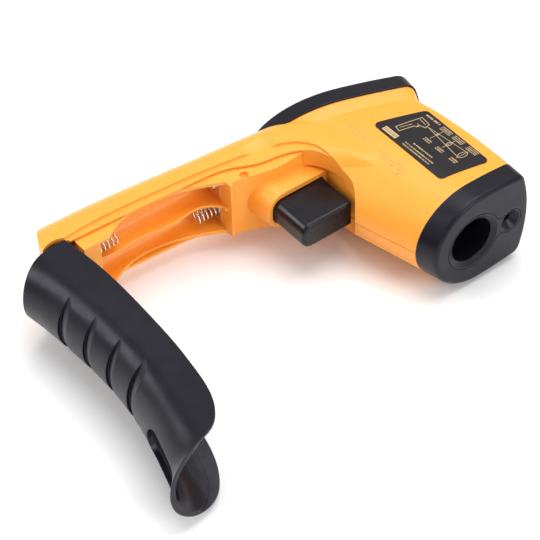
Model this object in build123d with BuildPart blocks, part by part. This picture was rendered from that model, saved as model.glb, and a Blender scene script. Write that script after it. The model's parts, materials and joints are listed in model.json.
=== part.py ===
"""Handheld infrared thermometer, lying on its left side with the battery cover swung open.

Frame: the origin is the mouth of the sensor bore, on the optical axis.
+X is the way the thermometer looks, +Y is its top in use and +Z its right side, which faces up.
The battery cover is designed closed, then turned about its hinge to the open rest pose.
"""
import os
from math import cos, radians, sin, sqrt

from build123d import *

# Head (mm)
SIDE = 21.5              # half the width over the rear rim, the widest piece
BEZEL_DEPTH = 8.5        # front bezel, along the optical axis
RIM_TILT = 18.0          # lean of the display plane, degrees
RIM_X = -69.0            # where the rim's front plane crosses the optical axis
RIM_DEPTH = 8.6
FLARE = 5.4              # length of the flare ahead of the rim
WALL = 2.0               # moulded shells
SEAM = 0.3               # width and depth of the groove between the housing halves
BEYOND = 30.0            # clear of the part's sides

# Optics
BORE_R = 9.1
BORE_BEVEL_R = 11.2
BORE_BEVEL = 1.2
BORE_DEPTH = 12.0
LASER_Y = 17.4
LASER_CONE_R = 4.4
LASER_HOLE_R = 1.7
GROOVE_R = 12.05         # thin line around the bore
LASER_RING_R = 5.2       # and around the laser cone
NECK_R = 2.6             # hollow arcs between the two
GROOVE_WIDTH = 0.45
GROOVE_DEEP = 0.4

# Handle and battery bay
HINGE_X = -75.0
HINGE_Y = -123.0
OPEN_ANGLE = 87.5        # battery cover, closed to open, degrees
COVER_GAP = 0.25         # cover edge to housing
LAP = 0.9                # thickness of the cover's edge where it laps over the housing
TRAY_INSET = 2.3         # tray face below the handle's outer skin
BAY_TOP = -57.2
BAY_BOTTOM = -109.0
CELL_X = -78.0
CELL_Z = 5.75
CELL_LANE_R = 5.25
TRAY_BACK = -86.3
ROOF_Y = -21.2           # roof of the recess under the head
COVER_END = -22.4        # free end of the closed battery cover
TRAY_TOP = ROOF_Y - 0.15
COLLAR_HALF = 9.2        # half the width of the notch for the trigger's collar
SWEEP_R = 6.8            # space that the cover's rear corner turns through
GROOVES = [-104.5, -90.7, -77.2, -63.6]
GROOVE_DEPTH = 1.3
GROOVE_LENGTH = 5.5
HOLE_TOP = -23.3         # hole in the cover for the trigger
HOLE_BOTTOM = -47.8
HOLE_HALF = 7.0

# Cell contacts
PLATE = 0.4
CONTACT_X = -77.2
CONTACT_HALF = 4.2
SPRING_R = 2.7
SPRING_WIRE = 0.35
SPRING_PITCH = 1.75
SPRING_TURNS = 4.5

# Trigger
TRIGGER_FRONT = -38.2
TRIGGER_TOP = -23.8
TRIGGER_BOTTOM = -46.2
TRIGGER_HALF = 5.4
TRIGGER_FIT = 0.35
TRIGGER_BACK = -69.0
FLANGE = 1.4             # stop at the trigger's back
FLANGE_HALF = 7.0
SLOT_END = TRIGGER_FRONT + 0.6   # pocket for the trigger in the roof of the recess
SLOT_HALF = TRIGGER_HALF + 0.6
PLUNGER_Y = -36.0
SWITCH_X = -79.0         # front of the switch board

# Display and keys, on the leaning plane: across and up from the optical axis
WINDOW_HALF = 14.5
WINDOW_LOW = -3.5
WINDOW_HIGH = 17.5
WINDOW_SEAT = RIM_DEPTH - 1.2
KEYS = {"left_key": (-10.5, -15.0), "mode_key": (0.0, -22.5), "right_key": (10.5, -15.0)}
KEY_R = 4.0
KEY_GAP = 0.3
KEY_PROUD = 1.1
KEY_FOOT = 4.6           # depth of the key's underside

# Hinge
PIN_R = 1.1
PIN_FIT = 0.06
KNUCKLE_R = 2.6
LUG_HALF = 7.6
KNUCKLE_GAP = 0.3
PIN_HALF = 11.0
KNUCKLE_END = 12.6

# Screws from the left: x, y, height of the head's seat
SCREWS = [
    (-17.5, -15.0, -9.0), (-38.0, 15.0, -14.5), (-50.0, -12.0, -14.0),
    (-89.9, -80.0, -5.0), (-90.6, -104.0, -5.0),
]
SCREW_HEAD_R = 2.3
SCREW_HEAD = 1.5
SCREW_SHANK_R = 1.1
SCREW_END = 6.0
BOSS_R = 3.3
CROSS_HALF = 1.3         # cross recess
CROSS_WIDTH = 0.5

# Surface details
MARK_X = -31.0           # raised ring on the right side
MARK_Y = -9.1
MARK_HEIGHT = 0.25
DENT_R = 20.0
DENT_DEPTH = 1.3
LABEL_THICK = 0.25

# Sensor and laser stack along the optical axis
BARREL_R = 9.7
BARREL_LENGTH = 15.9
CAN_X = -28.0
BOARD = 1.6

Z_UP = (0, 0, 1)
RIM_UP = (sin(radians(RIM_TILT)), cos(radians(RIM_TILT)), 0)
RIM_OUT = (-cos(radians(RIM_TILT)), sin(radians(RIM_TILT)), 0)


def head_plane(x):
    """Plane across the head: local X is the part's +Z, local Y its +Y."""
    return Plane(origin=(x, 0, 0), x_dir=Z_UP, z_dir=(-1, 0, 0))


def rim_plane(depth):
    """Plane parallel to the display, `depth` behind the rim's front plane."""
    origin = (RIM_X + depth * RIM_OUT[0], depth * RIM_OUT[1], 0)
    return Plane(origin=origin, x_dir=Z_UP, z_dir=RIM_OUT)


def handle_plane(y):
    """Plane across the handle: local X is the part's +X, local Y its -Z."""
    return Plane(origin=(0, y, 0), x_dir=(1, 0, 0), z_dir=(0, 1, 0))


def shield(plane, top, bottom, top_half, side_half, level, corner, bow, inset=0.0):
    """Head section: top that bows up in the middle, nearly upright sides and a rounded keel."""
    with BuildSketch(plane, mode=Mode.PRIVATE) as section:
        with BuildLine():
            ThreePointArc(
                (-top_half + inset, top - inset),
                (0, top - inset + bow),
                (top_half - inset, top - inset),
            )
            TangentArc((side_half - inset, level), (top_half - inset, top - inset), tangent=(0, 1))
            EllipticalCenterArc(
                (0, level), side_half - inset, level - bottom - inset,
                start_angle=180, arc_size=180,
            )
            TangentArc((-side_half + inset, level), (-top_half + inset, top - inset), tangent=(0, 1))
        make_face()
        fillet(section.vertices().sort_by(Axis.Y)[-2:], corner)
    return section.sketch


def head_body(inset=0.0):
    """Solid head from the front face to the rim's front plane."""
    sections = [
        shield(head_plane(0), 22.8, -17.4, 18.4, 19.8, 3, 4, 3.2, inset),
        shield(head_plane(-32), 23.6, -26.0, 18.5, 19.7, 1, 4.5, 3.6, inset),
        shield(rim_plane(-FLARE), 24.0, -36.8, 18.4, 19.6, -3, 5, 3.9, inset),
        shield(rim_plane(0), 24.5, -37.9, 19.7, 20.9, -3, 5, 3.8, inset),
    ]
    with BuildPart(mode=Mode.PRIVATE) as body:
        loft(sections[:3])
        loft(sections[2:], ruled=True)
    return body.part


def oval(y, back, front, half, back_round, front_round, inset=0.0):
    """Handle section: flat sides joined by two half ellipses."""
    back_centre = back + back_round
    front_centre = front - front_round
    with BuildSketch(handle_plane(y), mode=Mode.PRIVATE) as section:
        with BuildLine():
            EllipticalCenterArc(
                (back_centre, 0), back_round - inset, half - inset,
                start_angle=90, arc_size=180,
            )
            Line((back_centre, -half + inset), (front_centre, -half + inset))
            EllipticalCenterArc(
                (front_centre, 0), front_round - inset, half - inset,
                start_angle=-90, arc_size=180,
            )
            Line((front_centre, half - inset), (back_centre, half - inset))
        make_face()
    return section.sketch


# y, back, front, half width, back rounding, front rounding
HANDLE = [
    (-134.0, -97.8, -56.6, 13.2, 14, 13),
    (-118.0, -97.2, -57.2, 14.0, 14, 13),
    (-100.0, -96.2, -58.4, 14.5, 14, 12.5),
    (-80.0, -94.6, -58.3, 14.5, 14, 12),
    (-62.0, -92.6, -56.2, 14.8, 14, 12),
    (-48.0, -90.8, -52.8, 15.5, 14, 12),
    (-36.0, -89.2, -48.9, 16.6, 15, 13),
    (-28.0, -88.0, -46.0, 17.5, 16, 15),
    (-21.0, -86.8, -40.6, 18.2, 17, 17),
    (-8.0, -85.0, -28.0, 19.2, 18, 18),
]


def handle_body(inset=0.0):
    """Solid handle, closed-cover shape, with its slanted rounded foot."""
    with BuildPart(mode=Mode.PRIVATE) as body:
        loft([oval(*row, inset=inset) for row in HANDLE])
        with BuildSketch(Plane.XY.offset(-BEYOND)):
            with BuildLine():
                foot = Spline(
                    (-110, -112 + inset), (-97, -119 + inset), (-86, -125.8 + inset),
                    (-75, -127.9 + inset), (-62, -125.0 + inset), (-46, -114.5 + inset),
                )
                Line(foot @ 1, (-46, -150))
                Line((-46, -150), (-110, -150))
                Line((-110, -150), foot @ 0)
            make_face()
        extrude(amount=2 * BEYOND, mode=Mode.SUBTRACT)
    return body.part


def side_prism(points, low=-BEYOND, high=BEYOND):
    """Prism along Z over a closed polygon in the side view."""
    with BuildPart(mode=Mode.PRIVATE) as prism:
        with BuildSketch(Plane.XY.offset(low)):
            with BuildLine():
                Polyline(*points, close=True)
            make_face()
        extrude(amount=high - low)
    return prism.part


def front_region(gap=0.0):
    """Everything ahead of the parting line and below the roof of the recess."""
    with BuildPart(mode=Mode.PRIVATE) as region:
        with BuildSketch(Plane.XY.offset(-BEYOND)):
            with BuildLine():
                lower = Line((-79.5 + gap, -145), (-79.5 + gap, -124))
                parting = Spline(
                    lower @ 1,
                    (-77.3 + gap, -95), (-75.4 + gap, -66), (-72.6 + gap, -52),
                    (-68.2 + gap, -44), (-66.2 + gap, -37 - gap),
                    (-62.8 + gap, -29 - gap), (-56.5, -23.6 - gap), (-51, -21.9 - gap),
                    (-45, -21.6 - gap), (-40.5, -22.1 - gap), (-36.5, -24.2 - gap),
                    (-33.2, -27.2 - gap), (-31.2, -31.0 - gap),
                )
                Polyline(parting @ 1, (-31.2, -145), lower @ 0)
            make_face()
        extrude(amount=2 * BEYOND)
    return region.part


def cover_region(gap=0.0):
    """Everything ahead of the battery cover's edge, which laps over the housing behind the parting."""
    with BuildPart(mode=Mode.PRIVATE) as region:
        with BuildSketch(Plane.XY.offset(-BEYOND)):
            with BuildLine():
                lower = Line((-79.6 + gap, -145), (-79.6 + gap, -124))
                edge = Spline(
                    lower @ 1, (-80.2 + gap, -100), (-78.7 + gap, -77), (-77 + gap, -62),
                    (-75 + gap, -51), (-72.9 + gap, -42), (-67.2 + gap, -29.5 - gap),
                    (-62.5, -25.0 - gap), (-56, -22.9 - gap), (-50, COVER_END - gap),
                )
                end = Line(edge @ 1, (-20, COVER_END - gap))
                Polyline(end @ 1, (-20, -145), lower @ 0)
            make_face()
        extrude(amount=2 * BEYOND)
    return region.part


def slab(solid, low, high):
    """The stretch of a solid between two planes across the optical axis."""
    with BuildPart(mode=Mode.PRIVATE) as piece:
        add(solid)
        split(bisect_by=Plane(origin=(low, 0, 0), z_dir=(1, 0, 0)), keep=Keep.TOP)
        split(bisect_by=Plane(origin=(high, 0, 0), z_dir=(1, 0, 0)), keep=Keep.BOTTOM)
    return piece.part


def rod_x(x, y, z, radius, length):
    """Round bar that starts at (x, y, z) and runs towards +X."""
    with BuildPart(mode=Mode.PRIVATE) as bar:
        with BuildSketch(Plane(origin=(x, y, z), x_dir=(0, 1, 0), z_dir=(1, 0, 0))):
            Circle(radius)
        extrude(amount=length)
    return bar.part


def rod_y(x, y, z, radius, length):
    """Round bar that starts at (x, y, z) and runs towards +Y."""
    with BuildPart(mode=Mode.PRIVATE) as bar:
        with BuildSketch(Plane(origin=(x, y, z), x_dir=(1, 0, 0), z_dir=(0, 1, 0))):
            Circle(radius)
        extrude(amount=length)
    return bar.part


def rod_z(x, y, low, high, radius):
    """Round bar parallel to Z."""
    with BuildPart(mode=Mode.PRIVATE) as bar:
        with BuildSketch(Plane.XY.offset(low)):
            with Locations((x, y)):
                Circle(radius)
        extrude(amount=high - low)
    return bar.part


def block(x0, x1, y0, y1, z0, z1):
    """Box between two corners."""
    with BuildPart(mode=Mode.PRIVATE) as box:
        with BuildSketch(Plane.XY.offset(z0)):
            with Locations(((x0 + x1) / 2, (y0 + y1) / 2)):
                Rectangle(x1 - x0, y1 - y0)
        extrude(amount=z1 - z0)
    return box.part


def rim_section(depth, shrink=0.0):
    """Outline of the rear rim, `depth` behind its front plane."""
    return shield(rim_plane(depth), 25.0, -38.5, 20.3, SIDE + 0.2, -3, 5, 3.8, shrink)


def rim_slab(depth, thickness, width, low, high, corner):
    """Rounded plate parallel to the display."""
    with BuildPart(mode=Mode.PRIVATE) as plate:
        with BuildSketch(rim_plane(depth)):
            with Locations((0, (low + high) / 2)):
                RectangleRounded(width, high - low, corner)
        extrude(amount=thickness)
    return plate.part


def rim_disc(across, up, depth, thickness, radius):
    """Round plate parallel to the display."""
    with BuildPart(mode=Mode.PRIVATE) as disc:
        with BuildSketch(rim_plane(depth)):
            with Locations((across, up)):
                Circle(radius)
        extrude(amount=thickness)
    return disc.part


def trigger_outline(plane, grow):
    """Upright slot section of the trigger with a rounded lower end."""
    half = TRIGGER_HALF + grow
    top = TRIGGER_TOP + grow
    bottom = TRIGGER_BOTTOM - grow
    with BuildSketch(plane, mode=Mode.PRIVATE) as outline:
        with Locations((0, (top + bottom) / 2)):
            Rectangle(2 * half, top - bottom)
        fillet(outline.vertices().group_by(Axis.Y)[0], 3.8 + grow)
        fillet(outline.vertices().group_by(Axis.Y)[-1], 0.8)
    return outline.sketch


def trigger_prism(grow, back, front):
    """Trigger section run along the optical axis."""
    with BuildPart(mode=Mode.PRIVATE) as prism:
        extrude(trigger_outline(forward_plane(back), grow), amount=front - back)
    return prism.part


def forward_plane(x):
    """Plane that faces +X: local X is -Z, local Y is +Y."""
    return Plane(origin=(x, 0, 0), x_dir=(0, 0, -1), z_dir=(1, 0, 0))


def keyhole(shrink):
    """Outline round the bore and the laser cone, joined by two hollow necks."""
    ring, laser_ring, neck = GROOVE_R - shrink, LASER_RING_R - shrink, NECK_R + shrink
    to_ring, to_laser = ring + neck, laser_ring + neck
    neck_y = (LASER_Y**2 + to_ring**2 - to_laser**2) / (2 * LASER_Y)
    neck_x = sqrt(to_ring**2 - neck_y**2)
    low = (neck_x * ring / to_ring, neck_y * ring / to_ring)
    high = (neck_x * laser_ring / to_laser, LASER_Y + (neck_y - LASER_Y) * laser_ring / to_laser)
    with BuildSketch(mode=Mode.PRIVATE) as outline:
        with BuildLine():
            ThreePointArc(low, (0, -ring), (-low[0], low[1]))
            ThreePointArc(high, (0, LASER_Y + laser_ring), (-high[0], high[1]))
            for side in (-1, 1):
                ThreePointArc(
                    (side * low[0], low[1]), (side * (neck_x - neck), neck_y), (side * high[0], high[1])
                )
        make_face()
    return outline.sketch


def coil(start, direction, radius, wire, pitch, turns):
    """Round-wire helical spring."""
    with BuildPart(mode=Mode.PRIVATE) as spring:
        with BuildLine():
            path = Helix(pitch, pitch * turns, radius, center=start, direction=direction)
        with BuildSketch(Plane(origin=path @ 0, z_dir=path % 0)):
            Circle(wire)
        sweep(path=path)
    return spring.part


os.makedirs("parts", exist_ok=True)
pieces = {}

# Envelopes that several pieces share
head = head_body()
head_inner = head_body(WALL)
handle = handle_body()
handle_inner = handle_body(WALL)
recess = front_region()

with BuildPart() as rim_envelope:
    loft([rim_section(0), rim_section(60)])

# Front bezel: cap with the sensor tube, the laser cone and a keyhole line round both
with BuildPart() as front_bezel:
    add(slab(head, -BEZEL_DEPTH, 1))
    fillet(front_bezel.faces().sort_by(Axis.X)[-1].edges(), 1.6)
    add(slab(head_inner, -BEZEL_DEPTH - 1, -3), mode=Mode.SUBTRACT)
    add(rod_x(-BORE_DEPTH, 0, 0, BORE_R + 1.6, BORE_DEPTH - 2))
    add(rod_x(-5.4, LASER_Y, 0, 4.6, 3.4))
    add(rod_x(-BORE_DEPTH - 1, 0, 0, BORE_R, BORE_DEPTH + 2), mode=Mode.SUBTRACT)
    add(rod_x(-8, LASER_Y, 0, LASER_HOLE_R, 9), mode=Mode.SUBTRACT)
    with BuildSketch(forward_plane(0)):
        Circle(BORE_BEVEL_R)
    with BuildSketch(forward_plane(-BORE_BEVEL)):
        Circle(BORE_R)
    loft(mode=Mode.SUBTRACT)
    with BuildSketch(forward_plane(0)):
        with Locations((0, LASER_Y)):
            Circle(LASER_CONE_R)
    with BuildSketch(forward_plane(-2.4)):
        with Locations((0, LASER_Y)):
            Circle(LASER_HOLE_R)
    loft(mode=Mode.SUBTRACT)
    with BuildSketch(forward_plane(-GROOVE_DEEP)):
        add(keyhole(0))
        add(keyhole(GROOVE_WIDTH), mode=Mode.SUBTRACT)
    extrude(amount=GROOVE_DEEP + 1, mode=Mode.SUBTRACT)
pieces["front_bezel"] = front_bezel.part

# Battery tray: one moulding with the cell lanes, the trigger block and its collar
with BuildPart() as tray_profile:
    with BuildSketch(Plane.XY.offset(-BEYOND)):
        with BuildLine():
            back = Polyline((-76.8, -29), (-81.4, -43), (TRAY_BACK, -47))
            keel = Line(back @ 1, (TRAY_BACK, -113.6))
            foot = Line(keel @ 1, (-79.6, -113.6))
            toe = Line(foot @ 1, (-78.6, -115.6))
            sole = Line(toe @ 1, (-72.6, -115.6))
            face = Spline(
                sole @ 1, (-72.2, -104), (-71.6, -89), (-70.8, -80), (-69.2, -69.5), (-68.2, -57.2),
            )
            rib = Polyline(face @ 1, (-66.0, -57.2), (-66.0, -56.0), (-67.3, -56.0))
            front = Spline(rib @ 1, (-65.6, -49), (-63.2, -42), (-62.1, -37), (-61.9, -31))
            brow = Line(front @ 1, (-61.9, TRAY_TOP))
            lid = Line(brow @ 1, (-72, TRAY_TOP))
            Line(lid @ 1, back @ 0)
        make_face()
    extrude(amount=2 * BEYOND)

with BuildPart() as lane_cuts:
    for z in (-CELL_Z, CELL_Z):
        add(rod_y(CELL_X, BAY_BOTTOM, z, CELL_LANE_R, BAY_TOP - BAY_BOTTOM))
        add(block(CELL_X, -50, BAY_BOTTOM, BAY_TOP, z - CELL_LANE_R, z + CELL_LANE_R))
    add(block(CELL_X - 4, -50, BAY_BOTTOM, BAY_BOTTOM + 0.6, -1, 1))

# The lanes' outer walls dip in one long scoop, the divider in a gentle wave
outer_wall = CELL_Z + CELL_LANE_R
with BuildPart() as wall_scoops:
    for low in (-20, outer_wall - 0.1):
        with BuildSketch(Plane.XY.offset(low)):
            with BuildLine():
                dip = Spline(
                    (-69.2, BAY_TOP), (-73.5, -65.5), (-77.2, -77), (-78.4, -88), (-76.8, -97),
                    (-73.2, -104), (-71.0, -107.5),
                )
                Line(dip @ 1, (-50, -107.5))
                Line((-50, -107.5), (-50, BAY_TOP))
                Line((-50, BAY_TOP), dip @ 0)
            make_face()
        extrude(amount=20 - outer_wall + 0.1)
with BuildPart() as divider_wave:
    with BuildSketch(Plane.XY.offset(-1)):
        with BuildLine():
            wave = Spline(
                (-70.2, BAY_TOP - 1.2), (-75.2, -66), (-74.3, -77), (-75.8, -91), (-75.2, -99),
                (-76.2, BAY_BOTTOM),
            )
            Line(wave @ 1, (-50, BAY_BOTTOM))
            Line((-50, BAY_BOTTOM), (-50, BAY_TOP - 1.2))
            Line((-50, BAY_TOP - 1.2), wave @ 0)
        make_face()
    extrude(amount=2)

with BuildPart() as battery_tray:
    add(handle_body(TRAY_INSET))
    add(tray_profile.part, mode=Mode.INTERSECT)
    add(lane_cuts.part, mode=Mode.SUBTRACT)
    add(wall_scoops.part, mode=Mode.SUBTRACT)
    add(divider_wave.part, mode=Mode.SUBTRACT)
    # Hollow of the trigger block, open at the back
    add(
        side_prism(
            [(-90, -54), (-69.6, -54), (-67.1, -48), (-65.2, -41), (-64.1, -36), (-63.9, -22.6),
             (-73, -22.6), (-86, -44)],
            low=-11.2, high=11.2,
        ),
        mode=Mode.SUBTRACT,
    )
    # Collar round the trigger, slightly tapered
    with BuildSketch(forward_plane(-67.5)) as collar:
        with Locations((0, (TRAY_TOP - 50.3) / 2)):
            Rectangle(17.6, 50.3 + TRAY_TOP)
        fillet(collar.vertices().group_by(Axis.Y)[0], 8.2)
    with BuildSketch(forward_plane(-55.6)) as collar_rim:
        with Locations((0, (TRAY_TOP - 48.8) / 2)):
            Rectangle(15.6, 48.8 + TRAY_TOP)
        fillet(collar_rim.vertices().group_by(Axis.Y)[0], 7.4)
    loft()
    add(trigger_prism(TRIGGER_FIT, -68.6, -50), mode=Mode.SUBTRACT)
    # Dimple that holds the closed cover
    add(rod_z(-67.6, -50.0, 11.7, 14.6, 1.7), mode=Mode.SUBTRACT)
    # Lug for the cover's hinge pin
    with BuildSketch(Plane.XY.offset(-LUG_HALF)):
        with Locations((HINGE_X, HINGE_Y)):
            Circle(KNUCKLE_R)
        Polygon((-78, -114), (-72.6, -114), (HINGE_X + 2.3, HINGE_Y), (HINGE_X - 2.3, HINGE_Y),
                align=None)
    extrude(amount=2 * LUG_HALF)
    add(rod_z(HINGE_X, HINGE_Y, -20, 20, PIN_R), mode=Mode.SUBTRACT)
pieces["battery_tray"] = battery_tray.part

# Housing halves: the trigger and its collar pass the roof of the recess through this notch
with BuildPart() as notch:
    add(block(-62.4, -45, -60, ROOF_Y, -COLLAR_HALF, COLLAR_HALF))
    add(block(-46, SLOT_END, -60, ROOF_Y, -SLOT_HALF, SLOT_HALF))

with BuildPart() as foot_sweep:
    # The cover's rear corner turns through this space below the tray
    with BuildSketch(Plane(origin=(HINGE_X, HINGE_Y, 0), x_dir=(-1, 0, 0), z_dir=(0, 1, 0))):
        with BuildLine():
            Polyline((0, -15), (SWEEP_R, -15), (SWEEP_R, 15), (0, 15), close=True)
        make_face()
    revolve(axis=Axis((HINGE_X, HINGE_Y, 0), Z_UP))

with BuildPart() as outer:
    add(head)
    add(handle)
    split(bisect_by=Plane(origin=(-BEZEL_DEPTH, 0, 0), z_dir=(1, 0, 0)), keep=Keep.BOTTOM)
    add(rim_envelope.part, mode=Mode.SUBTRACT)
    add(recess, mode=Mode.SUBTRACT)
    add(notch.part, mode=Mode.SUBTRACT)

# Wall that stays along the roof of the recess
with BuildPart() as guard:
    add(front_region(-WALL))
    add(block(-64.4, -43, -60, ROOF_Y + WALL, -COLLAR_HALF - WALL, COLLAR_HALF + WALL))
    add(block(-44, SLOT_END + WALL, -60, ROOF_Y + WALL, -SLOT_HALF - WALL, SLOT_HALF + WALL))
    add(block(-66, 0, -60, 0, -BEYOND, BEYOND), mode=Mode.INTERSECT)
    add(tray_profile.part, mode=Mode.SUBTRACT)

with BuildPart() as cavity:
    add(head_inner)
    add(handle_inner)
    add(guard.part, mode=Mode.SUBTRACT)

with BuildPart() as bosses:
    for x, y, seat in SCREWS:
        add(rod_z(x, y, -BEYOND, BEYOND, BOSS_R))
    add(outer.part, mode=Mode.INTERSECT)

with BuildPart() as screw_holes:
    for x, y, seat in SCREWS:
        add(rod_z(x, y, -BEYOND, seat, SCREW_HEAD_R + 0.25))
        add(rod_z(x, y, seat - 1, 0, SCREW_SHANK_R + 0.3))
        add(rod_z(x, y, -1, SCREW_END + 1, SCREW_SHANK_R))

# Rebate in the housing under the cover's lapped edge
with BuildPart() as rebate:
    add(handle_body(-0.3))
    add(handle_body(LAP + 0.2), mode=Mode.SUBTRACT)
    add(cover_region(-COVER_GAP), mode=Mode.INTERSECT)

# Fine groove where the two halves meet
with BuildPart() as seam:
    add(outer.part)
    add(head_body(SEAM), mode=Mode.SUBTRACT)
    add(handle_body(SEAM), mode=Mode.SUBTRACT)
    add(block(-110, 0, -140, 40, -SEAM / 2, SEAM / 2), mode=Mode.INTERSECT)

# Lip that the bezel fits over
with BuildPart() as lip:
    add(slab(head_body(2.1), -BEZEL_DEPTH - 1, -5.5))
    add(slab(head_body(1.8), -BEZEL_DEPTH - 3, -BEZEL_DEPTH))
    add(head_body(3.3), mode=Mode.SUBTRACT)

# Raised line and ring on the right side
with BuildPart() as mark_shapes:
    with BuildSketch(Plane.XY.offset(12)):
        with Locations(Location((MARK_X - 15.3, MARK_Y + 0.3, 0), (0, 0, -1.5))):
            SlotOverall(25.5, 1.8)
            SlotOverall(24.7, 1.0, mode=Mode.SUBTRACT)
        with Locations((MARK_X, MARK_Y)):
            Circle(2.4)
            Circle(1.9, mode=Mode.SUBTRACT)
            Circle(0.7)
    extrude(amount=12)

with BuildPart() as side_marks:
    add(head_body(-MARK_HEIGHT))
    add(mark_shapes.part, mode=Mode.INTERSECT)

# Shallow thumb dents, one each side
with BuildPart() as dents:
    for side in (-1, 1):
        with Locations((-71.2, -41.5, side * (16.2 + DENT_R - DENT_DEPTH))):
            Sphere(DENT_R)

with BuildPart() as housing:
    add(outer.part)
    add(cavity.part, mode=Mode.SUBTRACT)
    add(foot_sweep.part, mode=Mode.SUBTRACT)
    add(bosses.part)
    add(rebate.part, mode=Mode.SUBTRACT)
    add(seam.part, mode=Mode.SUBTRACT)
    add(lip.part)
    add(screw_holes.part, mode=Mode.SUBTRACT)
    add(dents.part, mode=Mode.SUBTRACT)

with BuildPart() as right_housing:
    add(housing.part)
    split(bisect_by=Plane.XY, keep=Keep.TOP)
    add(side_marks.part)
pieces["right_housing"] = right_housing.part

with BuildPart() as left_housing:
    add(housing.part)
    split(bisect_by=Plane.XY, keep=Keep.BOTTOM)
pieces["left_housing"] = left_housing.part

with BuildPart() as housing_screws:
    for x, y, seat in SCREWS:
        add(rod_z(x, y, seat - SCREW_HEAD, seat, SCREW_HEAD_R))
        add(rod_z(x, y, seat - 0.5, SCREW_END, SCREW_SHANK_R))
    for x, y, seat in SCREWS:
        for wide, tall in ((CROSS_HALF, CROSS_WIDTH / 2), (CROSS_WIDTH / 2, CROSS_HALF)):
            add(
                block(x - wide, x + wide, y - tall, y + tall, seat - 2, seat - SCREW_HEAD / 2),
                mode=Mode.SUBTRACT,
            )
pieces["housing_screws"] = housing_screws.part

# Rear rim with the display opening and the key holes
with BuildPart() as rear_rim:
    loft([rim_section(0), rim_section(RIM_DEPTH, 0.8)])
    fillet(rear_rim.faces().sort_by(Axis((0, 0, 0), RIM_OUT))[-1].edges(), 2.4)
    add(block(-100, -50, -60, 40, -SIDE, SIDE), mode=Mode.INTERSECT)
    loft([rim_section(-0.5, 2.2), rim_section(RIM_DEPTH - 2.4, 3.0)], mode=Mode.SUBTRACT)
    add(rim_slab(WINDOW_SEAT, 3, 2 * WINDOW_HALF, WINDOW_LOW, WINDOW_HIGH, 2.5),
        mode=Mode.SUBTRACT)
    add(rim_slab(0, 12, 2 * WINDOW_HALF - 2, WINDOW_LOW + 1, WINDOW_HIGH - 1, 2.0),
        mode=Mode.SUBTRACT)
    for across, up in KEYS.values():
        add(rim_disc(across, up, 0, 12, KEY_R + KEY_GAP), mode=Mode.SUBTRACT)
pieces["rear_rim"] = rear_rim.part

with BuildPart() as display_window:
    add(rim_slab(WINDOW_SEAT, 0.9, 2 * WINDOW_HALF - 0.2, WINDOW_LOW + 0.1, WINDOW_HIGH - 0.1,
                 2.4))
pieces["display_window"] = display_window.part

with BuildPart() as lcd_panel:
    add(rim_slab(4.0, 1.8, 2 * WINDOW_HALF - 1, WINDOW_LOW + 0.5, WINDOW_HIGH - 0.5, 0.6))
pieces["lcd_panel"] = lcd_panel.part

with BuildPart() as backlight:
    add(rim_slab(2.4, 1.4, 2 * WINDOW_HALF - 2, WINDOW_LOW + 0.8, WINDOW_HIGH - 0.8, 0.6))
pieces["backlight"] = backlight.part

with BuildPart() as main_board:
    add(rim_slab(0.6, 1.6, 28.5, -26.5, 18.0, 4.0))
pieces["main_board"] = main_board.part

with BuildPart() as key_domes:
    for across, up in KEYS.values():
        add(rim_disc(across, up, 2.2, 0.8, 3.0))
pieces["key_domes"] = key_domes.part

for name, (across, up) in KEYS.items():
    with BuildPart() as key:
        add(rim_disc(across, up, KEY_FOOT, RIM_DEPTH + KEY_PROUD - KEY_FOOT, KEY_R))
        fillet(key.edges().sort_by(Axis((0, 0, 0), RIM_OUT))[-1], 0.6)
        add(rim_disc(across, up, KEY_FOOT, 1.4, KEY_R + 0.9))
        add(rim_disc(across, up, KEY_FOOT - 0.7, 1.0, 1.6))
    pieces[name] = key.part


# Battery cover, built closed
def groove_cutter(y):
    """Sharp-lipped finger groove across the front of the closed cover."""
    with BuildPart(mode=Mode.PRIVATE) as cutter:
        add(block(-72, -45, y, y + GROOVE_LENGTH, -20, 20))
        deep = oval(y - 0.01, -95, front_line(y) - GROOVE_DEPTH, 15.6, 14, 13.2)
        flush = oval(y + GROOVE_LENGTH + 0.01, -95, front_line(y + GROOVE_LENGTH) + 0.2, 15.2, 14, 13)
        loft([deep, flush], mode=Mode.SUBTRACT)
    return cutter.part


def front_line(y):
    """Front of the closed handle at height y, between the design sections."""
    for (y0, _, f0, *_), (y1, _, f1, *_) in zip(HANDLE, HANDLE[1:]):
        if y0 <= y <= y1:
            return f0 + (f1 - f0) * (y - y0) / (y1 - y0)


with BuildPart() as hole_cutter:
    with BuildSketch(forward_plane(-62)) as hole:
        with Locations((0, (HOLE_BOTTOM + HOLE_TOP) / 2)):
            Rectangle(2 * HOLE_HALF, HOLE_TOP - HOLE_BOTTOM)
        fillet(hole.vertices().group_by(Axis.Y)[0], 6.6)
        fillet(hole.vertices().group_by(Axis.Y)[-1], 2.4)
    extrude(amount=32)

with BuildPart() as cover_wall:
    add(handle)
    add(handle_inner, mode=Mode.SUBTRACT)
    add(front_region(COVER_GAP), mode=Mode.INTERSECT)
    add(cover_region(), mode=Mode.INTERSECT)

with BuildPart() as closed_cover:
    add(handle)
    add(handle_body(LAP), mode=Mode.SUBTRACT)
    add(cover_region(), mode=Mode.INTERSECT)
    add(cover_wall.part)
    add(hole_cutter.part, mode=Mode.SUBTRACT)
    for y in GROOVES:
        add(groove_cutter(y), mode=Mode.SUBTRACT)
    # Knuckles on the pin, each on a web to the side wall
    for low in (-KNUCKLE_END, LUG_HALF + KNUCKLE_GAP):
        high = low + KNUCKLE_END - LUG_HALF - KNUCKLE_GAP
        add(rod_z(HINGE_X, HINGE_Y, low, high, KNUCKLE_R))
    add(rod_z(HINGE_X, HINGE_Y, -PIN_HALF, PIN_HALF, PIN_R), mode=Mode.SUBTRACT)

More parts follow.
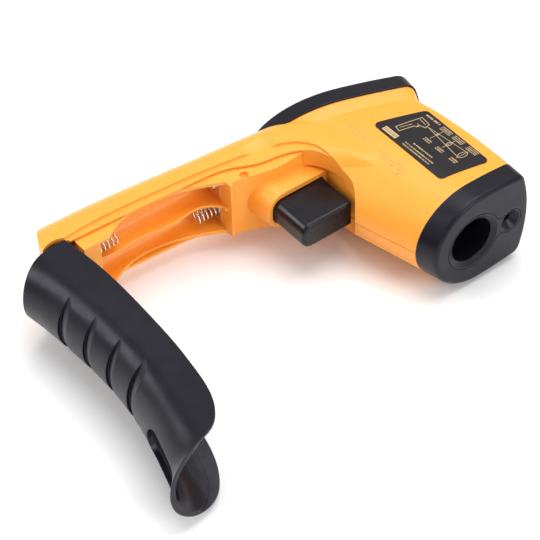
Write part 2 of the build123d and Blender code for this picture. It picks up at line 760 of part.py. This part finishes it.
hinge = Axis((HINGE_X, HINGE_Y, 0), Z_UP)
pieces["battery_cover"] = closed_cover.part.rotate(hinge, -OPEN_ANGLE)
pieces["hinge_pin"] = rod_z(HINGE_X, HINGE_Y, -PIN_HALF, PIN_HALF, PIN_R - PIN_FIT)

# Trigger
with BuildPart() as trigger:
    add(trigger_prism(0, TRIGGER_BACK + FLANGE, TRIGGER_FRONT))
    fillet(trigger.faces().sort_by(Axis.X)[-1].edges(), 1.5)
    add(block(TRIGGER_BACK, TRIGGER_BACK + FLANGE, TRIGGER_BOTTOM - 1.6, TRIGGER_TOP - 0.4,
              -FLANGE_HALF, FLANGE_HALF))
    add(rod_x(TRIGGER_BACK - 3.6, PLUNGER_Y, 0, 1.6, 4.0))
pieces["trigger"] = trigger.part

with BuildPart() as trigger_spring:
    add(coil((SWITCH_X + 0.2, PLUNGER_Y, 0), (1, 0, 0), 2.6, 0.25, 1.3, 4))
pieces["trigger_spring"] = trigger_spring.part

with BuildPart() as switch_board:
    add(block(SWITCH_X - 0.75, SWITCH_X, -46, -33.7, -5, 5))
pieces["switch_board"] = switch_board.part
pieces["trigger_switch"] = rod_x(SWITCH_X, PLUNGER_Y, 0, 2.1, 2.0)

# Optics and laser
with BuildPart() as lens_barrel:
    add(rod_x(CAN_X, 0, 0, BARREL_R, BARREL_LENGTH))
    add(rod_x(CAN_X - 1, 0, 0, BARREL_R - 1.5, BARREL_LENGTH + 2.1), mode=Mode.SUBTRACT)
pieces["lens_barrel"] = lens_barrel.part
with BuildPart() as fresnel_lens:
    add(rod_x(-19.2, 0, 0, 8.15, 1.0))
pieces["fresnel_lens"] = fresnel_lens.part
pieces["sensor_board"] = rod_x(CAN_X - BOARD, 0, 0, BARREL_R, BOARD)
pieces["sensor_can"] = rod_x(CAN_X, 0, 0, 4.1, 3.6)
pieces["laser_module"] = rod_x(-27.0, LASER_Y, 0, 3.0, 14.8)
pieces["buzzer"] = rim_disc(-6, 6, -3.4, 4.0, 5.0)

# Cell contacts
with BuildPart() as link_contact:
    add(block(-80.2, -73.6, BAY_BOTTOM, BAY_BOTTOM + PLATE, -10.2, 10.2))
pieces["link_contact"] = link_contact.part
with BuildPart() as near_contact:
    add(block(-80.9, -72.8, BAY_TOP - PLATE, BAY_TOP, CELL_Z - CONTACT_HALF, CELL_Z + CONTACT_HALF))
    add(rod_y(CONTACT_X, BAY_TOP - 1.2, CELL_Z, 1.8, 1.0))
pieces["near_contact"] = near_contact.part
with BuildPart() as far_contact:
    add(block(-80.9, -72.8, BAY_TOP - PLATE, BAY_TOP, -CELL_Z - CONTACT_HALF, -CELL_Z + CONTACT_HALF))
pieces["far_contact"] = far_contact.part
for name, y, z, way in (
    ("near_cell_spring", BAY_BOTTOM + PLATE + SPRING_WIRE, CELL_Z, 1),
    ("far_cell_spring", BAY_TOP - PLATE - SPRING_WIRE, -CELL_Z, -1),
):
    pieces[name] = coil((CONTACT_X, y, z), (0, way, 0), SPRING_R, SPRING_WIRE, SPRING_PITCH, SPRING_TURNS)

# Label that follows the head's side
with BuildPart() as label_shape:
    with BuildSketch(Plane.XY.offset(10)) as label_face:
        Polygon((-54.2, -1.9), (-16.1, -2.4), (-12.6, 17.7), (-47.9, 18.9), align=None)
        fillet(label_face.vertices(), 2.0)
    extrude(amount=14)
with BuildPart() as side_label:
    add(head_body(-LABEL_THICK))
    add(label_shape.part, mode=Mode.INTERSECT)
    add(head, mode=Mode.SUBTRACT)
pieces["side_label"] = side_label.part

for name, piece in pieces.items():
    piece.label = name
    export_step(piece, f"parts/{name}.step")
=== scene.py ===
"""Looks of the handheld infrared thermometer: materials, label art, display and fine trim."""
import json
from math import cos, pi, radians, sin
import random

import bpy
from mathutils import Matrix, Vector
from mathutils.bvhtree import BVHTree


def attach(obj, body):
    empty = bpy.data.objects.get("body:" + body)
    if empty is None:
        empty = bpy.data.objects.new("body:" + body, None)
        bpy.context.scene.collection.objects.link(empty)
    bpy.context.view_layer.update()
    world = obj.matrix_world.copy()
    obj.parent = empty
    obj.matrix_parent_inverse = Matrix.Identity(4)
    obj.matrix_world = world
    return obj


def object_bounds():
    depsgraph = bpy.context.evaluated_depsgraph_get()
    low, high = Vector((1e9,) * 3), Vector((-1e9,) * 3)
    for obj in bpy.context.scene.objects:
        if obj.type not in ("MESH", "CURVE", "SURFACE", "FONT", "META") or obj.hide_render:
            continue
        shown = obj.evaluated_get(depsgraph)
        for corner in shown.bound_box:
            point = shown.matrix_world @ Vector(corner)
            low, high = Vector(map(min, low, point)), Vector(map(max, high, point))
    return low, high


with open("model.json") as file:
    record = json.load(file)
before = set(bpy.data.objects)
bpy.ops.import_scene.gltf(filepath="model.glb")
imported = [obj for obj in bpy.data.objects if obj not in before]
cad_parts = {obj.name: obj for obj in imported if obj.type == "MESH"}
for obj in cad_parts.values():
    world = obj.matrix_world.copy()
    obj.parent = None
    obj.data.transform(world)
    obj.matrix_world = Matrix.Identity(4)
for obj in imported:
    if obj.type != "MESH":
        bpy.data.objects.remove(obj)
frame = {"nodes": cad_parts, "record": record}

CAD_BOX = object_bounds()
NODES = frame["nodes"]
MM = 0.001
WHITE = (1, 1, 1, 1)

# Camera: direction round the object, height, roll (degrees), distance and shift of aim (metres)
CAMERA_AZIMUTH = 53.59
CAMERA_ELEVATION = 44.72
CAMERA_ROLL = -1.86
CAMERA_DISTANCE = 0.7088
CAMERA_ASIDE = 0.0719
CAMERA_UP = 0.0100
CAMERA_LENS = 133.93


def camera_axes():
    """Right, up and back of the camera in the row frame."""
    a, e, r = radians(CAMERA_AZIMUTH), radians(CAMERA_ELEVATION), radians(CAMERA_ROLL)
    back = Vector((sin(a) * cos(e), -cos(a) * cos(e), sin(e)))
    level = Vector((cos(a), sin(a), 0))
    rise = back.cross(level)
    return cos(r) * level + sin(r) * rise, cos(r) * rise - sin(r) * level, back


def make_camera():
    right, up, back = camera_axes()
    data = bpy.data.cameras.new("camera")
    data.lens = CAMERA_LENS
    data.sensor_width = 36
    data.clip_start, data.clip_end = 0.01, 20
    camera = bpy.data.objects.new("camera", data)
    bpy.context.scene.collection.objects.link(camera)
    turn = Matrix((right, up, back)).transposed()
    place = -CAMERA_ASIDE * right - CAMERA_UP * up + CAMERA_DISTANCE * back
    camera.matrix_world = Matrix.Translation(place) @ turn.to_4x4()
    bpy.context.scene.camera = camera


# Materials
MIX_FIRST, MIX_SECOND, MIX_RESULT = 6, 7, 2    # colour sockets of the Mix node
CLOUD_SCALE = 38.0       # noise scales, per metre
SMEAR_SCALE = 160.0
GRAIN_SCALE = 2600.0
GRAIN_DEPTH = 0.02 * MM
FINE_DEPTH = 0.01 * MM   # depth of scratches and of the grain of films


class Look:
    """One procedural material, built round a Principled shader."""

    def __init__(self, name):
        self.material = bpy.data.materials.new(name)
        self.material.use_nodes = True
        self.tree = self.material.node_tree
        self.shader = self.tree.nodes["Principled BSDF"]
        self.place = self.node("ShaderNodeTexCoord").outputs["Object"]

    def node(self, kind, **values):
        """New node with its settings."""
        node = self.tree.nodes.new(kind)
        for key, value in values.items():
            setattr(node, key, value)
        return node

    def link(self, start, end):
        self.tree.links.new(start, end)

    def set(self, **values):
        """Sets the shader's own sockets, named with _ for a space."""
        for key, value in values.items():
            self.shader.inputs[key.replace("_", " ")].default_value = value
        return self

    def noise(self, scale, detail=3.0, roughness=0.55):
        """Noise in the object's own space."""
        node = self.node("ShaderNodeTexNoise")
        node.inputs["Scale"].default_value = scale
        node.inputs["Detail"].default_value = detail
        node.inputs["Roughness"].default_value = roughness
        self.link(self.place, node.inputs["Vector"])
        return node.outputs["Fac"]

    def spread(self, source, low, high, start=0.35, end=0.65):
        """Maps a noise to a range of values."""
        node = self.node("ShaderNodeMapRange")
        for key, value in (("From Min", start), ("From Max", end), ("To Min", low), ("To Max", high)):
            node.inputs[key].default_value = value
        self.link(source, node.inputs["Value"])
        return node.outputs["Result"]

    def mix(self, amount, first, second):
        """Blends two colours, each a tuple or an output."""
        node = self.node("ShaderNodeMix", data_type="RGBA")
        for value, end in ((first, MIX_FIRST), (second, MIX_SECOND)):
            if isinstance(value, tuple):
                node.inputs[end].default_value = (*value, 1)
            else:
                self.link(value, node.inputs[end])
        self.link(amount, node.inputs[0])
        return node.outputs[MIX_RESULT]

    def rounded(self, radius):
        """Normal of the shape with its sharp edges rounded off, and how near an edge a point is, the
        mask of the painted edge highlight.
        """
        bevel = self.node("ShaderNodeBevel", samples=6)
        bevel.inputs["Radius"].default_value = radius
        geometry = self.node("ShaderNodeNewGeometry")
        dot = self.node("ShaderNodeVectorMath", operation="DOT_PRODUCT")
        self.link(bevel.outputs["Normal"], dot.inputs[0])
        self.link(geometry.outputs["Normal"], dot.inputs[1])
        edge = self.spread(dot.outputs["Value"], 1.0, 0.0, 0.80, 0.995)
        return bevel.outputs["Normal"], edge

    def bump(self, height, strength, distance, normal=None):
        """Relief from a noise, on top of a normal if one is given."""
        node = self.node("ShaderNodeBump")
        node.inputs["Strength"].default_value = strength
        node.inputs["Distance"].default_value = distance
        self.link(height, node.inputs["Height"])
        if normal is not None:
            self.link(normal, node.inputs["Normal"])
        self.link(node.outputs["Normal"], self.shader.inputs["Normal"])


def moulded(name, base, deep, edge_highlight_tone, rough, grain, edge_radius):
    """Moulded plastic: faint cloudiness, fine spark-eroded grain, softened edges and a painted highlight
    that lightens the colour near every edge.
    """
    look = Look(name)
    cloud = look.noise(CLOUD_SCALE, 2.0)
    tint = look.mix(look.spread(cloud, 0.0, 1.0), base, deep)
    normal, edge = look.rounded(edge_radius)
    # painted highlight: the colour turns towards the lighter edge tone near every edge
    look.link(look.mix(edge, tint, edge_highlight_tone), look.shader.inputs["Base Color"])
    smear = look.noise(SMEAR_SCALE, 4.0)
    look.link(look.spread(smear, rough - 0.04, rough + 0.05), look.shader.inputs["Roughness"])
    look.bump(look.noise(GRAIN_SCALE, 2.0), grain, GRAIN_DEPTH, normal)
    return look


def amber_plastic():
    # third colour: painted highlight along the edges
    look = moulded("amber_plastic", (1.0, 0.375, 0.042), (0.99, 0.355, 0.034), (1.0, 0.54, 0.15),
                   0.34, 0.12, 0.0004)
    look.set(Specular_IOR_Level=0.40, Subsurface_Weight=0.15, Subsurface_Scale=0.0015)
    return look.material


def charcoal_plastic():
    # third colour: painted highlight along the edges
    look = moulded("charcoal_plastic", (0.0066, 0.0060, 0.0100), (0.0048, 0.0044, 0.0078),
                   (0.036, 0.035, 0.048), 0.33, 0.20, 0.0005)
    look.set(Specular_IOR_Level=0.27, Specular_Tint=(0.90, 0.88, 1.0, 1.0))
    return look.material


def trigger_plastic():
    # third colour: painted highlight along the edges
    look = moulded("trigger_plastic", (0.0075, 0.0068, 0.0088), (0.0055, 0.0050, 0.0068),
                   (0.030, 0.028, 0.036), 0.24, 0.10, 0.0005)
    look.set(Specular_IOR_Level=0.30)
    return look.material


def key_rubber():
    # third colour: painted highlight along the edges
    return moulded("key_rubber", (0.030, 0.030, 0.033), (0.022, 0.022, 0.025), (0.060, 0.060, 0.065),
                   0.62, 0.40, 0.0003).material


def bright_metal(name, tone, rough, scratch_scale):
    """Bare metal with fine streaks."""
    look = Look(name)
    streak = look.noise(scratch_scale, 5.0, 0.7)
    look.link(look.mix(look.spread(streak, 0.0, 1.0), tone, tuple(0.82 * c for c in tone)),
              look.shader.inputs["Base Color"])
    look.link(look.spread(streak, rough, rough + 0.12), look.shader.inputs["Roughness"])
    look.set(Metallic=1.0)
    look.bump(streak, 0.08, FINE_DEPTH)
    return look.material


def plain_plastic(name, tone, rough):
    """Inner moulding, its tones worked out from one."""
    deep = tuple(0.86 * c for c in tone)
    # lighter tone for the painted highlight along the edges
    edge_highlight_tone = tuple(min(1, 1.5 * c) for c in tone)
    return moulded(name, tone, deep, edge_highlight_tone, rough, 0.15, 0.0002).material


def clear_window():
    look = Look("clear_window")
    look.set(Base_Color=(0.25, 0.27, 0.27, 1), IOR=1.49, Alpha=0.12)
    smear = look.noise(90.0, 4.0)
    look.link(look.spread(smear, 0.04, 0.10), look.shader.inputs["Roughness"])
    return look.material


def display_glass():
    look = Look("display_glass")
    cloud = look.noise(60.0, 3.0)
    look.link(look.mix(look.spread(cloud, 0.0, 1.0), (0.235, 0.265, 0.215), (0.215, 0.245, 0.200)),
              look.shader.inputs["Base Color"])
    look.set(Roughness=0.22)
    look.bump(look.noise(4000.0, 2.0), 0.08, FINE_DEPTH)
    return look.material


def label_film():
    look = Look("label_film")
    cloud = look.noise(120.0, 4.0)
    look.link(look.mix(look.spread(cloud, 0.0, 1.0), (0.0150, 0.0120, 0.0150), (0.0115, 0.0095, 0.0120)),
              look.shader.inputs["Base Color"])
    look.link(look.spread(cloud, 0.34, 0.42), look.shader.inputs["Roughness"])
    look.set(Specular_IOR_Level=0.25)
    look.bump(look.noise(5200.0, 2.0), 0.12, FINE_DEPTH)
    return look.material


def label_ink():
    look = Look("label_ink")
    speck = look.noise(3000.0, 3.0)
    look.link(look.mix(look.spread(speck, 0.0, 1.0), (0.62, 0.46, 0.24), (0.52, 0.37, 0.18)),
              look.shader.inputs["Base Color"])
    look.set(Roughness=0.45)
    return look.material


SLOT_MAKERS = {
    "amber_plastic": amber_plastic,
    "charcoal_plastic": charcoal_plastic,
    "trigger_plastic": trigger_plastic,
    "key_rubber": key_rubber,
    "clear_window": clear_window,
    "display_glass": display_glass,
    "label_film": label_film,
    "white_plastic": lambda: plain_plastic("white_plastic", (0.78, 0.78, 0.75), 0.4),
    # near-black lens colour: painted shade of the deep bore, put on the lens in place of its own pale
    # tone
    "dark_lens": lambda: plain_plastic("dark_lens", (0.012, 0.012, 0.014), 0.22),
    "circuit_board": lambda: plain_plastic("circuit_board", (0.02, 0.16, 0.06), 0.4),
    "black_parts": lambda: plain_plastic("black_parts", (0.018, 0.018, 0.018), 0.5),
    "steel": lambda: bright_metal("steel", (0.55, 0.55, 0.56), 0.28, 900.0),
    "spring_steel": lambda: bright_metal("spring_steel", (0.86, 0.85, 0.84), 0.12, 1500.0),
    "contact_plate": lambda: bright_metal("contact_plate", (0.80, 0.79, 0.77), 0.16, 700.0),
    "sensor_metal": lambda: bright_metal("sensor_metal", (0.66, 0.66, 0.66), 0.22, 900.0),
    "laser_brass": lambda: bright_metal("laser_brass", (0.70, 0.50, 0.22), 0.24, 900.0),
}


def dress_nodes():
    """Each CAD node gets the material of its slot."""
    looks = {slot: make() for slot, make in SLOT_MAKERS.items()}
    for entry in frame["record"]["subparts"]:
        mesh = NODES[entry["node"]].data
        mesh.materials.clear()
        mesh.materials.append(looks[entry["material_slot"]])
    return looks


# Printed and moulded trim
INK_LIFT = 0.03 * MM
SEGMENT_LIFT = 0.02 * MM
RAY_HEIGHT = 0.05        # start of the rays above the drawing's plane, metres
PATCH_STEP = 0.8         # longest flat stretch of a patch, in millimetres
MITRE_LIMIT = 0.5
DISPLAY_LEAN = radians(18)
DISPLAY_OUT = Vector((-cos(DISPLAY_LEAN), sin(DISPLAY_LEAN), 0))
DISPLAY_UP = Vector((sin(DISPLAY_LEAN), cos(DISPLAY_LEAN), 0))
DISPLAY_RIGHT = Vector((0, 0, 1))
DISPLAY_ORIGIN = Vector((-69 * MM, 0, 0))
ARROW_KEYS = {"left_key": (-10.5, -15.0, 1), "right_key": (10.5, -15.0, -1)}    # place and turn
MODE_KEY = (0.0, -22.5)


class Ink:
    """Flat art laid on the surface of a CAD node, drawn in millimetres on a plane."""

    def __init__(self, node, origin, across, up, out, lift=INK_LIFT):
        self.mesh = NODES[node].data
        self.tree = BVHTree.FromPolygons([v.co for v in self.mesh.vertices],
                                         [list(p.vertices) for p in self.mesh.polygons])
        self.origin, self.across, self.up, self.out, self.lift = origin, across, up, out, lift
        self.points, self.faces = [], []

    def drop(self, u, v):
        """The point of the surface under a point of the drawing."""
        start = self.origin + u * MM * self.across + v * MM * self.up + RAY_HEIGHT * self.out
        hit = self.tree.ray_cast(start, -self.out)[0]
        return None if hit is None else hit + self.lift * self.out

    def patch(self, corners):
        """Four-sided patch, split so that it follows a curved surface."""
        a, b, c, d = (Vector(p) for p in corners)
        count = max(1, round(max((b - a).length, (c - d).length) / PATCH_STEP))
        rows = []
        for i in range(count + 1):
            t = i / count
            pair = [self.drop(*p) for p in (a.lerp(b, t), d.lerp(c, t))]
            if None in pair:
                return
            rows.append(pair)
        base = len(self.points)
        for pair in rows:
            self.points += pair
        for i in range(count):
            k = base + 2 * i
            self.faces.append((k, k + 2, k + 3, k + 1))

    def box(self, u, v, width, height):
        """Upright rectangle from its lower left corner."""
        self.patch([(u, v), (u + width, v), (u + width, v + height), (u, v + height)])

    def line(self, points, width, closed=False):
        """Line of constant width with mitred corners."""
        points = [Vector(p) for p in points]
        count = len(points)
        rails = []
        for i, p in enumerate(points):
            before = points[i - 1] if closed or i else None
            after = points[(i + 1) % count] if closed or i + 1 < count else None
            one = (p - before).normalized() if before is not None else None
            two = (after - p).normalized() if after is not None else None
            one, two = one or two, two or one
            bend = (one + two).normalized()
            side = Vector((-bend.y, bend.x)) * (width / 2 / max(MITRE_LIMIT, bend.dot(one)))
            rails.append((p + side, p - side))
        for i in range(count if closed else count - 1):
            (a, d), (b, c) = rails[i], rails[(i + 1) % count]
            self.patch([a, b, c, d])

    def ring(self, u, v, wide, tall, width, steps=28):
        """Ellipse with the given half axes."""
        turn = [2 * pi * i / steps for i in range(steps)]
        self.line([(u + wide * cos(t), v + tall * sin(t)) for t in turn], width, closed=True)

    def dashes(self, u, v, length, height, rng):
        """Row of short bars that stands for a line of small print."""
        end = u + length
        while u < end:
            width = rng.uniform(0.35, 0.75) * height
            self.box(u, v, min(width, end - u), height)
            u += width + (0.30 if rng.random() < 0.8 else 0.75) * height

    def finish(self, name, material, slot, body):
        """Makes the piece, which rides on a body."""
        mesh = bpy.data.meshes.new(name)
        mesh.from_pydata(self.points, [], self.faces)
        mesh.materials.append(material)
        piece = bpy.data.objects.new(name, mesh)
        bpy.context.scene.collection.objects.link(piece)
        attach(piece, body)


def side_ink(node):
    """Drawing in the part's own X and Y, seen from its right side."""
    return Ink(node, Vector((0, 0, 0)), Vector((1, 0, 0)), Vector((0, 1, 0)), Vector((0, 0, 1)))


def display_ink(node, lift=INK_LIFT):
    """Drawing on the leaning plane of the display and keys."""
    return Ink(node, DISPLAY_ORIGIN, DISPLAY_RIGHT, DISPLAY_UP, DISPLAY_OUT, lift)


def draw_label(material):
    """Line drawing of an instrument and its widening field of view, with bars for the small print."""
    rng = random.Random(7)
    ink = side_ink("side_label")
    outline = [(-46.4, 10.4), (-45.6, 14.6), (-41.0, 14.0), (-40.3, 11.6), (-42.4, 10.9), (-42.7, 9.4),
               (-43.6, 9.1), (-44.9, 3.0), (-47.5, 3.6)]
    ink.line(outline, 0.28, closed=True)
    ink.line([(-44.9, 9.4), (-46.2, 4.4)], 0.22)
    ink.line([(-45.4, 13.3), (-41.6, 12.8)], 0.22)
    ink.line([(-44.0, 10.9), (-42.9, 10.9), (-43.0, 9.9)], 0.22)
    reach = [(-34.8, 0.35, 0.60), (-28.3, 0.75, 1.30), (-20.9, 1.15, 2.20)]
    axis_start, axis_end = (-40.2, 12.6), (-20.9, 12.1)
    ink.line([axis_start, (axis_end[0], axis_end[1] - 2.2)], 0.20)
    ink.line([axis_start, (axis_end[0], axis_end[1] + 2.2)], 0.20)
    for x, wide, tall in reach:
        share = (x - axis_start[0]) / (axis_end[0] - axis_start[0])
        y = axis_start[1] + share * (axis_end[1] - axis_start[1])
        ink.ring(x, y, wide, tall, 0.22)
        ink.line([(x, 9.0), (x, 15.0)], 0.18)
        for row in range(3):
            ink.dashes(x - 2.2, 15.3 + 0.85 * row, 5.2, 0.5, rng)
        for row in range(2):
            ink.dashes(x - 1.4, 7.7 - 1.0 * row, 3.4, 0.6, rng)
    ink.dashes(-45.8, 16.5, 7.2, 0.9, rng)
    ink.dashes(-36.4, 2.3, 10.2, 0.6, rng)
    ink.dashes(-38.8, 0.5, 15.0, 0.55, rng)
    ink.dashes(-38.8, -0.8, 14.4, 0.55, rng)
    for v, height in ((-1.0, 0.45), (0.85, 0.45)):
        ink.box(-49.8, v, 7.2, height)
    for i in range(10):
        ink.box(-49.8 + 0.74 * i, -0.55, 0.52, 1.4)
    ink.finish("label_art", material, "laser_brass", "housing")


def digit_bars(ink, u, v, width, height, bar):
    """Seven bars of one display digit."""
    gap = 0.12
    half = height / 2
    for level in (0, half, height):
        ink.box(u + bar * 0.7, v + level - bar / 2, width - bar * 1.4, bar)
    for side in (0, width - bar):
        for low in (0, half):
            ink.box(u + side, v + low + bar / 2 + gap, bar, half - bar - 2 * gap)


def draw_display(material):
    """Three digits, a point, a degree ring and two rows of plain bars."""
    ink = display_ink("lcd_panel", SEGMENT_LIFT)
    for u in (-11.0, -4.6, 2.6):
        digit_bars(ink, u, 1.6, 5.2, 9.4, 1.0)
    ink.box(1.2, 1.1, 0.9, 0.9)
    ink.ring(10.2, 10.2, 0.8, 0.8, 0.4)
    for column in range(4):
        ink.box(-11.0 + 5.6 * column, 13.4, 4.2, 1.2)
        ink.box(-11.0 + 5.6 * column, -1.6, 4.2, 1.1)
    ink.finish("display_segments", material, "black_parts", "housing")


def draw_keys(material):
    """Plain marks on the three keys."""
    for name, (u, v, turn) in ARROW_KEYS.items():
        ink = display_ink(name)
        arrow = [(u - 1.5, v - 0.9 * turn), (u + 1.5, v - 0.9 * turn), (u, v + 1.3 * turn)]
        ink.line(arrow, 0.4, closed=True)
        ink.finish(name + "_mark", material, "white_plastic", name)
    ink = display_ink("mode_key")
    ink.ring(*MODE_KEY, 1.4, 1.4, 0.4)
    ink.finish("mode_key_mark", material, "white_plastic", "mode_key")


# Stage and lights
FLOOR_HALF = 3.0         # metres
WORLD_STRENGTH = 0.66
LIGHT_AIM = Vector((-0.04, -0.05, 0))
LIGHTS = [               # name, place, diameter, watts
    ("overhead", (-0.1, 0.1, 0.9), 0.9, 6.5),
    ("left_soft", (-0.7, -0.7, 0.6), 0.5, 3.4),
    ("right_soft", (0.9, 0.2, 0.5), 0.5, 3.4),
]


def make_stage():
    """Pale floor under the lowest point."""
    low = CAD_BOX[0][2]
    mesh = bpy.data.meshes.new("floor")
    corners = [(x * FLOOR_HALF, y * FLOOR_HALF, low) for x, y in ((-1, -1), (1, -1), (1, 1), (-1, 1))]
    mesh.from_pydata(corners, [], [(0, 1, 2, 3)])
    floor = bpy.data.objects.new("floor", mesh)
    bpy.context.scene.collection.objects.link(floor)
    look = Look("floor_paper")
    cloud = look.noise(3.0, 2.0)
    look.link(look.mix(look.spread(cloud, 0.0, 1.0), (0.97, 0.97, 0.97), (0.95, 0.95, 0.95)),
              look.shader.inputs["Base Color"])
    look.set(Roughness=0.9, Specular_IOR_Level=0.1)
    mesh.materials.append(look.material)


def area_light(name, place, size, watts):
    data = bpy.data.lights.new(name, "AREA")
    data.shape = "DISK"
    data.size = size
    data.energy = watts
    light = bpy.data.objects.new(name, data)
    bpy.context.scene.collection.objects.link(light)
    light.location = place
    light.rotation_euler = (LIGHT_AIM - Vector(place)).to_track_quat("-Z", "Y").to_euler()


def make_lights():
    world = bpy.data.worlds.new("studio")
    bpy.context.scene.world = world
    world.use_nodes = True
    background = world.node_tree.nodes["Background"]
    background.inputs["Color"].default_value = WHITE
    background.inputs["Strength"].default_value = WORLD_STRENGTH
    for name, place, size, watts in LIGHTS:
        area_light(name, place, size, watts)


bpy.context.scene.view_settings.view_transform = "Standard"
make_camera()
looks = dress_nodes()
draw_label(label_ink())
draw_display(looks["black_parts"])
draw_keys(looks["white_plastic"])
make_stage()
make_lights()
